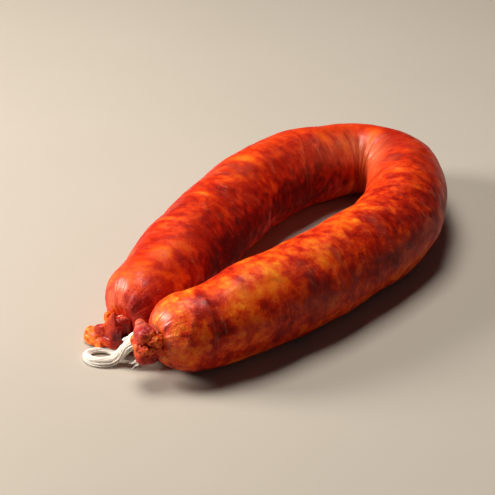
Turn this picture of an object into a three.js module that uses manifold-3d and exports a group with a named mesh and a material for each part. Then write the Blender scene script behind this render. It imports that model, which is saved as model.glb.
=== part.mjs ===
// A cured sausage bent into a horseshoe, its two gathered ends tied together with white cotton twine.
// Millimetres, +Z up. It rests on z = 0 with its long axis along Y and its tied ends towards -Y.
// The near leg is the one on the +X side.
import * as THREE from "three";
import { mergeVertices } from "three/addons/utils/BufferGeometryUtils.js";
import Module from "manifold-3d";

// Body
const LEG_RADIUS = 19; // a 38 mm casing
const BEND_RADIUS = 16.8; // the skin is drawn tighter round the bend
const END_RADIUS = 17; // where each end starts to close
const NECK_RADIUS = 2.6; // casing gathered under the twine
const DOME_LENGTH = 16.6; // how far each end bulges past its last full section
const DOME_FULLNESS = 0.92; // below 1 the end is blunter than an ellipse
const DIMPLE_DEPTH = 3.7; // the neck is drawn back into the bulge by the twine
const DIMPLE_START = 0.8; // share of the dome where the dimple starts, and where it is at its deepest
const DIMPLE_END = 0.95;
const FLAT_DEPTH = 0.7; // how far the underside is pressed flat by its own weight
const END_TAPER = 22; // how far along each leg the narrowing reaches
const BEND_TAPER = 28;

// The spine, seen from above: where the near neck stands, the way it sets off, and a chain of arcs.
const NEAR_NECK = { x: 6.1, y: -101.5, heading: 61 };
const SPANS = [
  { name: "near neck", length: 18, turn: 1 },
  { name: "near shoulder", length: 30, turn: 15 },
  { name: "near leg", length: 64, turn: 6.5 },
  { name: "near sweep", length: 90, turn: 51 },
  { name: "bend", length: 38, turn: 109 },
  { name: "far sweep", length: 71, turn: 36 },
  { name: "far leg", length: 92, turn: 4 },
  { name: "far neck", length: 18, turn: -28 },
];
const NEAR_NECK_HEIGHT = 16.2;
const FAR_NECK_HEIGHT = 12.5;

// Gathers, the creases that run into each neck
const GATHERS = 11;
const GATHER_DEPTH = 1.1;
const GATHER_MIDDLE = 0.6; // share of the dome where they are deepest
const GATHER_SPREAD = 0.26;
const GATHER_SWAY = 1.7; // how unevenly they stand round the end

// Pleats, the folds across the inside of the bend
const PLEAT_PITCH = 8.5;
const PLEAT_DEPTH = 0.9;

// Lumps of filling felt through the skin: waves along the body, each winding round it as it goes.
const LUMPS = [
  { height: 0.45, length: 45, around: 2, wind: 145, sway: 2, start: 0 },
  { height: 0.32, length: 80, around: 1, wind: -195, sway: 0, start: -1.3 },
];

// Mesh fineness
const SIDES = 36;
const BODY_STEP = 5.2;
const DOME_RINGS = 11;
const LOBE_SIDES = 12;
const LOBE_RINGS = 9;
const TWINE_SIDES = 8;
const WRAP_SEGMENTS = 20;
const BEAD_STEPS = 4;
const LOOP_STEPS = 44;
const LINK_STEPS = 8;
const CUT_END_STEPS = 6;

// Twine
const TWINE_DIAMETER = 2.4;
const LINK_DIAMETER = 1.3;
const WRAP_TURNS = 2;
const WRAP_THICKNESS = 1.3;
const WRAP_WIDTH = 2.6;
const WRAP_ROOM = 0.8; // from the bare neck to the wrap, for the creases between
const WRAP_SETBACK = 2.3; // from the end of the neck back to the middle of the wrap

const wasm = await Module();
wasm.setup();

const radians = THREE.MathUtils.degToRad;
const { lerp, smoothstep } = THREE.MathUtils;
const bell = (distance, width) => Math.exp(-((distance / width) ** 2));
const wave = (distance, length) => (2 * Math.PI * distance) / length;

const spineLength = SPANS.reduce((sum, span) => sum + span.length, 0);
const nearDome = SPANS[0].length;
const farDome = spineLength - SPANS.at(-1).length;
const bendSpan = SPANS.findIndex((span) => span.name === "bend");
const bendStart = SPANS.slice(0, bendSpan).reduce((sum, span) => sum + span.length, 0);
const bendMiddle = bendStart + SPANS[bendSpan].length / 2;

// Place and heading on the spine, s millimetres from the near neck.
function spineAt(s) {
  let { x, y } = NEAR_NECK;
  let heading = radians(NEAR_NECK.heading);
  let left = s;
  for (const span of SPANS) {
    const run = Math.min(left, span.length);
    const curvature = radians(span.turn) / span.length;
    const next = heading + curvature * run;
    x += (Math.sin(next) - Math.sin(heading)) / curvature;
    y -= (Math.cos(next) - Math.cos(heading)) / curvature;
    heading = next;
    left -= run;
    if (left <= 0) break;
  }
  return { x, y, heading };
}

// Radius of the full body, before the ends close.
function bodyRadius(s) {
  const ends = bell(s - nearDome, END_TAPER) + bell(s - farDome, END_TAPER);
  const bend = bell(s - bendMiddle, BEND_TAPER);
  return LEG_RADIUS - (LEG_RADIUS - END_RADIUS) * ends - (LEG_RADIUS - BEND_RADIUS) * bend;
}

// shut runs from 0, where an end starts to close, to 1 at the foot of its neck.
function skinRadius(s, shut) {
  const closing = Math.max(0, Math.cos((Math.PI / 2) * shut)) ** DOME_FULLNESS;
  return NECK_RADIUS + (bodyRadius(s) - NECK_RADIUS) * closing;
}

function domeReach(shut) {
  const dimple = DIMPLE_DEPTH * smoothstep(shut, DIMPLE_START, DIMPLE_END);
  return DOME_LENGTH * Math.sin((Math.PI / 2) * shut) - dimple;
}

function spineHeight(s, shut) {
  const neck = s < bendMiddle ? NEAR_NECK_HEIGHT : FAR_NECK_HEIGHT;
  return lerp(bodyRadius(s) - FLAT_DEPTH, neck, shut ** 2);
}

// The angle round the body runs from the outer side of the horseshoe, over the top.
function lumpAt(s, angle) {
  return LUMPS.reduce((sum, lump) => {
    const along = wave(s, lump.length) + lump.sway * Math.sin(angle) + lump.start;
    return sum + lump.height * Math.sin(along) * Math.cos(lump.around * angle + wave(s, lump.wind));
  }, 0);
}

function gatherAt(shut, angle) {
  const ridge = Math.cos(GATHERS * angle + GATHER_SWAY * Math.sin(angle));
  return GATHER_DEPTH * ridge * bell(shut - GATHER_MIDDLE, GATHER_SPREAD);
}

function pleatAt(s, angle) {
  const inside = Math.max(0, -Math.cos(angle)) ** 1.5 * bell(s - bendMiddle, BEND_TAPER);
  const fold = (0.5 + 0.5 * Math.cos(wave(s - bendMiddle, PLEAT_PITCH))) ** 2;
  return PLEAT_DEPTH * inside * fold;
}

function relief(s, shut, angle) {
  return gatherAt(shut, angle) + lumpAt(s, angle) * (1 - shut) - pleatAt(s, angle);
}

function bodyRing({ s, shut }) {
  const { x, y, heading } = spineAt(s);
  const height = spineHeight(s, shut);
  const ring = [];
  for (let j = 0; j < SIDES; j++) {
    const angle = (2 * Math.PI * j) / SIDES;
    const reach = skinRadius(s, shut) + relief(s, shut, angle);
    const across = reach * Math.cos(angle);
    const z = Math.max(0, height + reach * Math.sin(angle));
    ring.push(new THREE.Vector3(x + across * Math.sin(heading), y - across * Math.cos(heading), z));
  }
  return ring;
}

// A closed skin through rings of points, each ring listed the same way round.
function skinThrough(rings) {
  const count = rings[0].length;
  const positions = rings.flat();
  const faces = [];
  for (let i = 0; i + 1 < rings.length; i++)
    for (let j = 0; j < count; j++) {
      const a = i * count + j;
      const b = i * count + ((j + 1) % count);
      faces.push(a, a + count, b, b, a + count, b + count);
    }
  const middle = (ring) => ring.reduce((sum, p) => sum.add(p), new THREE.Vector3()).divideScalar(count);
  const first = positions.push(middle(rings[0])) - 1;
  const last = positions.push(middle(rings.at(-1))) - 1;
  const start = (rings.length - 1) * count;
  for (let j = 0; j < count; j++) {
    faces.push(first, j, (j + 1) % count);
    faces.push(last, start + ((j + 1) % count), start + j);
  }
  return new THREE.BufferGeometry().setFromPoints(positions).setIndex(faces);
}

// Rings stand evenly along the body, follow each dome round into its dimple, and end with the neck.
function bodyGeometry() {
  const steps = Math.round((farDome - nearDome) / BODY_STEP);
  const along = [];
  for (let i = 0; i <= steps; i++) along.push({ s: lerp(nearDome, farDome, i / steps), shut: 0 });
  const shuts = [];
  for (let i = 1; i <= DOME_RINGS; i++) shuts.push(i / DOME_RINGS);
  const stations = [
    { s: 0, shut: 1 },
    ...shuts.map((shut) => ({ s: nearDome - domeReach(shut), shut })).reverse(),
    ...along,
    ...shuts.map((shut) => ({ s: farDome + domeReach(shut), shut })),
    { s: spineLength, shut: 1 },
  ];
  return skinThrough(stations.map(bodyRing));
}

// The tails are the spare casing beyond each tie, crumpled into lobes. Each lobe lies so far out beyond
// the neck, to the side of it, and up from the surface that the sausage rests on.
// Its size is along the neck, across it and up.
const NEAR_TAIL_FACING = 241;
const NEAR_TAIL = [
  { name: "root", out: 0.8, side: 0, up: 16.2, size: [1.9, 3.2, 3.4] },
  { name: "upper lobe", out: 3.8, side: -0.8, up: 20.2, size: [4.4, 5.6, 4.4], folds: 4 },
  { name: "middle fold", out: 4.4, side: -0.8, up: 16, size: [4.5, 6, 4], folds: 5 },
  { name: "lower lobe", out: 3.8, side: -1.2, up: 12.2, size: [4.4, 5.2, 4.4], folds: 4 },
  { name: "top bump", out: 4, side: 3.4, up: 23.8, size: [2.8, 2.8, 2.4] },
];

// The far tail droops to the side and spreads where it comes down.
const FAR_TAIL_FACING = 256;
const FAR_TAIL = [
  { name: "root", out: 0.9, side: 0.2, up: 12.3, size: [1.9, 3, 3.2] },
  { name: "ridge", out: 3, side: 0.8, up: 11.4, size: [2.7, 3.6, 6.6], lean: 10 },
  { name: "flank", out: 2.6, side: -2, up: 8.6, size: [2.2, 2.8, 3.8], folds: 4 },
  { name: "side bump", out: 3.1, side: 4.6, up: 15.2, size: [2.4, 2.5, 3.3], folds: 4 },
  { name: "apron", out: 3, side: 6.8, up: 7.6, size: [2.4, 6.2, 3.6], lean: 30, folds: 4 },
  { name: "tip", out: 3.8, side: 13, up: 4, size: [2.8, 3.4, 3.4], folds: 5 },
  { name: "lower tip", out: 3.2, side: 10.4, up: 3.4, size: [2.4, 4, 2.8], folds: 5 },
];
const FOLD_DEPTH = 0.09; // share of a lobe's radius

function lobeGeometry({ size, lean = 0, folds = 3 }) {
  const geometry = new THREE.SphereGeometry(1, LOBE_SIDES, LOBE_RINGS);
  const position = geometry.getAttribute("position");
  const p = new THREE.Vector3();
  for (let i = 0; i < position.count; i++) {
    p.fromBufferAttribute(position, i);
    const fold = Math.sin(folds * 2.2 * p.x + 1.4 * p.z + size[0]) * Math.cos(folds * 1.7 * p.y + size[2]);
    p.multiplyScalar(1 + FOLD_DEPTH * fold);
    position.setXYZ(i, p.x * size[0], p.y * size[1], p.z * size[2]);
  }
  return geometry.rotateX(radians(lean));
}

function solidOf(geometry) {
  const bare = geometry.clone();
  bare.deleteAttribute("normal");
  bare.deleteAttribute("uv");
  const merged = mergeVertices(bare, 1e-3);
  return new wasm.Manifold(
    new wasm.Mesh({
      numProp: 3,
      vertProperties: merged.getAttribute("position").array,
      triVerts: new Uint32Array(merged.index.array),
    }),
  );
}

function geometryOf(solid) {
  const { vertProperties, triVerts } = solid.getMesh();
  return new THREE.BufferGeometry()
    .setAttribute("position", new THREE.BufferAttribute(vertProperties, 3))
    .setIndex(new THREE.BufferAttribute(triVerts, 1));
}

// Lobes set out from a neck, as solids. facing is the way the tail points, in degrees from +X.
function tailSolids(lobes, neck, facing) {
  const turn = radians(facing);
  const along = new THREE.Vector2(Math.cos(turn), Math.sin(turn));
  return lobes.map((lobe) => {
    const x = neck.x + lobe.out * along.x + lobe.side * along.y;
    const y = neck.y + lobe.out * along.y - lobe.side * along.x;
    return solidOf(lobeGeometry(lobe).rotateZ(turn).translate(x, y, lobe.up));
  });
}

function sausageGeometry() {
  const nearTail = tailSolids(NEAR_TAIL, spineAt(0), NEAR_TAIL_FACING);
  const farTail = tailSolids(FAR_TAIL, spineAt(spineLength), FAR_TAIL_FACING);
  const body = solidOf(bodyGeometry());
  return geometryOf([...nearTail, ...farTail].reduce((whole, lobe) => whole.add(lobe), body));
}

// Turns of twine side by side round a neck, as one ring.
function wrapGeometry() {
  const inner = NECK_RADIUS + WRAP_ROOM;
  const halfBead = WRAP_WIDTH / (2 * WRAP_TURNS);
  const outline = [];
  for (let turn = 0; turn < WRAP_TURNS; turn++)
    for (let k = 0; k <= BEAD_STEPS; k++) {
      const angle = (Math.PI * k) / BEAD_STEPS;
      const reach = inner + (WRAP_THICKNESS / 2) * (1 + Math.sin(angle));
      const along = -WRAP_WIDTH / 2 + halfBead * (2 * turn + 1 - Math.cos(angle));
      outline.push(new THREE.Vector2(reach, along));
    }
  outline.push(new THREE.Vector2(inner, WRAP_WIDTH / 2));
  outline.push(new THREE.Vector2(inner, -WRAP_WIDTH / 2));
  outline.push(outline[0].clone());
  return new THREE.LatheGeometry(outline, WRAP_SEGMENTS);
}

function twineGeometry(points, diameter, steps) {
  const section = new THREE.Shape();
  for (let k = 0; k < TWINE_SIDES; k++) {
    const angle = (2 * Math.PI * k) / TWINE_SIDES;
    const x = (diameter / 2) * Math.cos(angle);
    const y = (diameter / 2) * Math.sin(angle);
    if (k) section.lineTo(x, y);
    else section.moveTo(x, y);
  }
  section.closePath();
  const route = new THREE.CatmullRomCurve3(points.map((p) => new THREE.Vector3(...p)));
  return new THREE.ExtrudeGeometry(section, { steps, extrudePath: route, curveSegments: 1 });
}

// The loop leaves the near wrap, comes down in front of the far tail, turns and runs back.
const LOOP_ROUTE = [
  [-0.5, -96.6, 14.8],
  [-3.4, -96.7, 13.6],
  [-6.4, -96.8, 11.6],
  [-9, -97, 8.8],
  [-11.2, -97.4, 5.6],
  [-13.6, -97.8, 2.8],
  [-16.8, -97.8, 1.5],
  [-20.5, -98.2, 1.4],
  [-23.6, -100, 1.4],
  [-25.2, -102.8, 1.4],
  [-24.5, -105.7, 1.5],
  [-21.6, -107.4, 1.6],
  [-18, -107.2, 1.6],
  [-14.9, -105.6, 1.7],
  [-12.6, -103.2, 2.2],
  [-10.8, -101, 4.2],
  [-8.8, -99.7, 7.2],
  [-6.2, -99.2, 9.8],
  [-3.6, -98.8, 11.4],
];
// Thinner strands drawn tight from tie to tie.
const LINK_ROUTE = [
  [-12, -97.5, 9.6],
  [-9.4, -97.1, 11.9],
  [-5.8, -96.6, 14.8],
  [-2.8, -96.2, 16.9],
];
const CUT_END_ROUTE = [
  [1.2, -97, 9.6],
  [-1.2, -97.8, 6],
  [-3.6, -98.6, 2.6],
  [-7.2, -98.6, 1.3],
];

const skin = new THREE.MeshStandardMaterial({ color: "#b5391c", roughness: 0.38, metalness: 0 });
const cotton = new THREE.MeshStandardMaterial({ color: "#efe8da", roughness: 0.95, metalness: 0 });

function mesh(name, geometry, material) {
  const made = new THREE.Mesh(geometry, material);
  made.name = name;
  return made;
}

// A wrap round a neck, turned to lie across it.
function wrap(name, s, height) {
  const { x, y, heading } = spineAt(s);
  const ring = mesh(name, wrapGeometry(), cotton);
  ring.position.set(x, y, height);
  ring.rotation.z = heading - Math.PI / 2;
  return ring;
}

export default new THREE.Group().add(
  mesh("sausage", sausageGeometry(), skin),
  wrap("near_tie", WRAP_SETBACK, NEAR_NECK_HEIGHT),
  wrap("far_tie", spineLength - WRAP_SETBACK, FAR_NECK_HEIGHT),
  mesh("twine_loop", twineGeometry(LOOP_ROUTE, TWINE_DIAMETER, LOOP_STEPS), cotton),
  mesh("twine_link", twineGeometry(LINK_ROUTE, LINK_DIAMETER, LINK_STEPS), cotton),
  mesh("twine_cut_end", twineGeometry(CUT_END_ROUTE, TWINE_DIAMETER, CUT_END_STEPS), cotton),
);
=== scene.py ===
import math

import bpy
import numpy as np
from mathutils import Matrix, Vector, noise


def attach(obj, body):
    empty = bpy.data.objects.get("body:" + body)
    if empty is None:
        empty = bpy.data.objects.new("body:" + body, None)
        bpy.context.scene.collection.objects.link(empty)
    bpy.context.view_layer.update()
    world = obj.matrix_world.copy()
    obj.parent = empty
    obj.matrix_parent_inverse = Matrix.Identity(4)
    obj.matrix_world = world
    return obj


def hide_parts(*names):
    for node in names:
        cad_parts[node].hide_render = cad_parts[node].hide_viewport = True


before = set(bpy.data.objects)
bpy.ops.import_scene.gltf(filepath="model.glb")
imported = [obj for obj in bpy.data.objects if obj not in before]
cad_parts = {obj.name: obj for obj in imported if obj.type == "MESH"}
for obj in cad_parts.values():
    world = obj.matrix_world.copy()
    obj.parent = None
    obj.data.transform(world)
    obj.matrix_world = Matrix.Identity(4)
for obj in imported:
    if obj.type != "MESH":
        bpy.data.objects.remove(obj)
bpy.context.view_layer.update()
mm = 0.001  # the numbers below are in millimetres and degrees


# Small helpers

def bell(distance, width):
    return np.exp(-((distance / width) ** 2))


def ease(value, low, high):
    share = np.clip((value - low) / (high - low), 0, 1)
    return share * share * (3 - 2 * share)


def blend(start, end, share):
    return start + (end - start) * share


def perlin(points, shift=0.0):
    # noise from about -1 to 1 at each point, with features one unit across
    return np.array([noise.noise(p) for p in (points + shift).tolist()])


def unit(vectors):
    return vectors / np.linalg.norm(vectors, axis=-1, keepdims=True)


def turnsRound(sides):
    # the angles of evenly spaced points round a ring
    return np.arange(sides) * 2 * math.pi / sides


def turnBetween(angle, middle):
    return (angle - middle + math.pi) % (2 * math.pi) - math.pi


def runLength(path):
    # how far along a path each of its points lies
    return np.concatenate([[0], np.cumsum(np.linalg.norm(np.diff(path, axis=0), axis=1))])


def makePiece(name, points, faces, material, numbers=None, vectors=None):
    # a smooth mesh piece from points in millimetres, with what its material reads at each point
    mesh = bpy.data.meshes.new(name)
    mesh.from_pydata((np.asarray(points) * mm).tolist(), [], faces)
    for label, values in (numbers or {}).items():
        mesh.attributes.new(label, "FLOAT", "POINT").data.foreach_set("value", np.asarray(values, float))
    for label, values in (vectors or {}).items():
        flat = np.asarray(values, float).ravel()
        mesh.attributes.new(label, "FLOAT_VECTOR", "POINT").data.foreach_set("vector", flat)
    mesh.shade_smooth()
    mesh.materials.append(material)
    piece = bpy.data.objects.new(name, mesh)
    bpy.context.scene.collection.objects.link(piece)
    return piece


def ringFaces(rings, sides, first=0):
    # quads between rings of points, and a face over each end
    ring = np.arange(rings - 1)[:, None] * sides + first
    side = np.arange(sides)[None, :]
    after = (side + 1) % sides
    quads = np.stack([ring + side, ring + sides + side, ring + sides + after, ring + after], axis=-1)
    start = list(range(first, first + sides))
    end = list(range(first + rings * sides - 1, first + (rings - 1) * sides - 1, -1))
    return quads.reshape(-1, 4).tolist() + [start, end]


# Camera

photoView = {
    "azimuth": 35,
    "elevation": 28,
    "distance": 730,
    "target": (-25.97, 9.56, 0),  # the middle of the picture, on the floor
    "lens": 116.36,
    "sensor": 36,
}


def makeCamera(view):
    turn = math.radians(view["azimuth"])
    lift = math.radians(view["elevation"])
    back = Vector((math.sin(turn) * math.cos(lift), -math.cos(turn) * math.cos(lift), math.sin(lift)))
    lens = bpy.data.cameras.new("camera")
    lens.lens = view["lens"]
    lens.sensor_width = view["sensor"]
    camera = bpy.data.objects.new("camera", lens)
    camera.location = (Vector(view["target"]) + back * view["distance"]) * mm
    camera.rotation_euler = (-back).to_track_quat("-Z", "Y").to_euler()
    bpy.context.scene.collection.objects.link(camera)
    bpy.context.scene.camera = camera


makeCamera(photoView)
print("camera made")


# Materials

class Value:
    # a number that changes over a surface: arithmetic on it adds Math nodes
    def __init__(self, socket):
        self.socket = socket

    def math(self, operation, *terms):
        tree = self.socket.id_data
        made = tree.nodes.new("ShaderNodeMath")
        made.operation = operation
        for place, term in zip(made.inputs, terms):
            if isinstance(term, Value):
                tree.links.new(term.socket, place)
            else:
                place.default_value = term
        return Value(made.outputs[0])

    def __add__(self, other):
        return self.math("ADD", self, other)

    def __radd__(self, other):
        return self.math("ADD", other, self)

    def __sub__(self, other):
        return self.math("SUBTRACT", self, other)

    def __rsub__(self, other):
        return self.math("SUBTRACT", other, self)

    def __mul__(self, other):
        return self.math("MULTIPLY", self, other)

    def __rmul__(self, other):
        return self.math("MULTIPLY", other, self)

    def __abs__(self):
        return self.math("ABSOLUTE", self)


class Finish:
    # one material: the shader's constants, and a method that adds any node
    def __init__(self, name, constants):
        self.material = bpy.data.materials.new(name)
        self.material.use_nodes = True
        self.tree = self.material.node_tree
        self.shader = self.tree.nodes["Principled BSDF"]
        for place, value in constants.items():
            self.shader.inputs[place].default_value = value

    def feed(self, place, value):
        if isinstance(value, Value):
            self.tree.links.new(value.socket, place)
        else:
            place.default_value = value

    def node(self, kind, settings, sockets, out=0):
        made = self.tree.nodes.new(kind)
        for label, value in settings.items():
            if label == "stops":
                while len(made.color_ramp.elements) < len(value):
                    made.color_ramp.elements.new(0.5)
                for element, (position, colour) in zip(made.color_ramp.elements, value):
                    element.position = position
                    element.color = (*colour, 1)
            else:
                setattr(made, label, value)
        for place, value in sockets.items():
            self.feed(made.inputs[place], value)
        return Value(made.outputs[out])

    def number(self, label):
        return self.node("ShaderNodeAttribute", {"attribute_name": label}, {}, "Fac")

    def vector(self, label):
        return self.node("ShaderNodeAttribute", {"attribute_name": label}, {}, "Vector")

    def scaled(self, vector, factors):
        return self.node("ShaderNodeVectorMath", {"operation": "MULTIPLY"}, {0: vector, 1: factors})

    def moved(self, vector, offset):
        return self.node("ShaderNodeVectorMath", {"operation": "ADD"}, {0: vector, 1: offset})

    def grain(self, vector, detail=3.0, roughness=0.5, distortion=0.0, out="Fac"):
        sockets = {"Vector": vector, "Scale": 1.0, "Detail": detail, "Roughness": roughness}
        return self.node("ShaderNodeTexNoise", {}, {**sockets, "Distortion": distortion}, out)

    def cells(self, vector, softness):
        # a value for each rounded cell
        sockets = {"Vector": vector, "Scale": 1.0, "Smoothness": softness}
        return self.node("ShaderNodeTexVoronoi", {"feature": "SMOOTH_F1"}, sockets, "Color")

    def creases(self, vector, width, detail=2.0):
        # thin wandering lines, 1 on the line
        return 1.0 - self.step(abs(self.grain(vector, detail, distortion=0.4) - 0.5), 0.0, width)

    def layer(self, recipe, vector):
        # a texture by its recipe: its kind, a shift, how often it repeats per mm, and its own settings
        kind, shift, often, *settings = recipe
        return kind(self, self.scaled(self.moved(vector, shift), often), *settings)

    def step(self, value, low, high):
        sockets = {"Value": value, "From Min": low, "From Max": high}
        return self.node("ShaderNodeMapRange", {"interpolation_type": "SMOOTHSTEP"}, sockets)

    def ramp(self, stops, value):
        return self.node("ShaderNodeValToRGB", {"stops": stops}, {"Fac": value})

    def paint(self, under, over, share):
        # sockets 6 and 7 take the colours, and 2 gives the mixed one
        return self.node("ShaderNodeMix", {"data_type": "RGBA"}, {0: share, 6: under, 7: over}, 2)

    def bump(self, height, strength, distance):
        sockets = {"Height": height, "Strength": strength, "Distance": distance * mm}
        return self.node("ShaderNodeBump", {}, sockets, "Normal")

    def connect(self, place, value):
        self.feed(self.shader.inputs[place], value)


casing = {
    "tones": [  # from the leanest filling to the fattest
        (0.0, (0.12, 0.0015, 0.0008)),
        (0.22, (0.28, 0.004, 0.001)),
        (0.40, (0.47, 0.014, 0.0015)),
        (0.56, (0.70, 0.043, 0.002)),
        (0.72, (0.80, 0.104, 0.004)),
        (0.88, (0.86, 0.172, 0.007)),
        (1.0, (0.92, 0.30, 0.018)),
    ],
    "plum": (0.22, 0.024, 0.018, 1),
    "pale": (0.83, 0.33, 0.14, 1),
    "crack": (0.04, 0.002, 0.001, 1),
    "wander": (0.11, 4.5),  # how often per mm, and how far, the pieces of filling are pushed about
    "layers": {  # where it is read, kind, shift, how often per mm along and across, and its own settings
        "broad": ("loose", Finish.grain, (0, 0, 0), (0.07, 0.06, 0.06), 2, 0.5),
        "chunk": ("loose", Finish.grain, (40, 0, 0), (0.19, 0.18, 0.18), 4, 0.6),
        "bits": ("straight", Finish.grain, (0, 60, 0), (0.52, 0.48, 0.48), 3, 0.65, 0.3),
        "mince": ("loose", Finish.grain, (0, 0, 71), (0.24, 0.22, 0.22), 3, 0.55, 0.2),
        "streak": ("straight", Finish.grain, (0, 0, 0), (0.62, 0.07, 0.07), 4, 0.6),
        "speckle": ("straight", Finish.grain, (0, 0, 0), (1.5, 1.5, 1.5), 2, 0.6),
        "pieces": ("loose", Finish.cells, (0, 0, 0), (0.16, 0.15, 0.15), 0.5),
        "crumbs": ("loose", Finish.cells, (0, 0, 33), (0.35, 0.33, 0.33), 0.45),
        "rare": ("straight", Finish.grain, (0, 0, 0), (0.10, 0.12, 0.12), 2),
        "crease": ("straight", Finish.creases, (0, 0, 0), (0.42, 0.055, 0.055), 0.034),
        "fork": ("straight", Finish.creases, (0, 25, 0), (0.30, 0.11, 0.11), 0.016),
        "crinkle": ("loose", Finish.creases, (0, 0, 0), (0.42, 0.42, 0.42), 0.06, 3),
        "pleats": ("spoke", Finish.grain, (0, 0, 0), (1, 1, 1), 4, 0.6, 0.6),
        "fine": ("straight", Finish.grain, (0, 0, 0), (1.9, 0.45, 0.45), 4, 0.65),
        "pores": ("straight", Finish.grain, (0, 0, 0), (1.3, 1.3, 1.3), 3, 0.55),
    },
    "mottle": {"broad": 0.42, "chunk": 0.36, "bits": 0.32, "speckle": 0.22, "pieces": 0.36, "crumbs": 0.30},
    "streaks": (0.12, 0.4),  # in the mottle, on the legs and added in the bend
    "minceLight": 0.09,
    "minceDark": 0.10,
    "tone": 0.53,  # of plain filling
    "toneAtEnds": 0.04,
    "toneInBend": -0.035,
    "fatAndSheenTone": 0.32,
    "leanAndShadeTone": -0.30,
    "plumShare": (0.35, 0.4),  # everywhere in a plum patch, and added in its bits
    "gristleShare": 0.25,
    "speckAndGlintShare": 0.35,
    "streakAndSheenShare": (0.05, 0.6),  # of pale streaks, partly painted sheen on the casing's ribs, everywhere and added where the casing is stretched and painted with sheen
    # the pale band inside the bend: partly stretched casing, partly painted sheen
    "stretchAndSheenShare": 0.34,
    # pale lines: the casing's own pale creases with painted highlight along their ridges
    "lightLines": {"ridge": 0.16, "rare": 0.13, "rareForks": 0.14, "forksAtEnds": 0.06, "ridgeBand": 0.05},
    "darkLines": {"crack": 0.7, "everywhere": 0.16, "crackBand": 0.2},
    "gloss": {"plain": 0.05, "chunks": 0.20, "ends": 0.6, "stretch": 0.75},
    "roughness": {"plain": 0.36, "broad": 0.08, "bits": 0.14, "lean": 0.3},
    "relief": {"lightLines": 0.6, "darkLines": 0.8, "pleats": 3.2, "crinkle": 2.4},
    "fineRelief": (1.0, 1.5),  # everywhere, and added at the ends
    "poreRelief": (0.9, 1.2),
    "bump": (0.45, 0.3),  # strength, and height in mm
}


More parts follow.
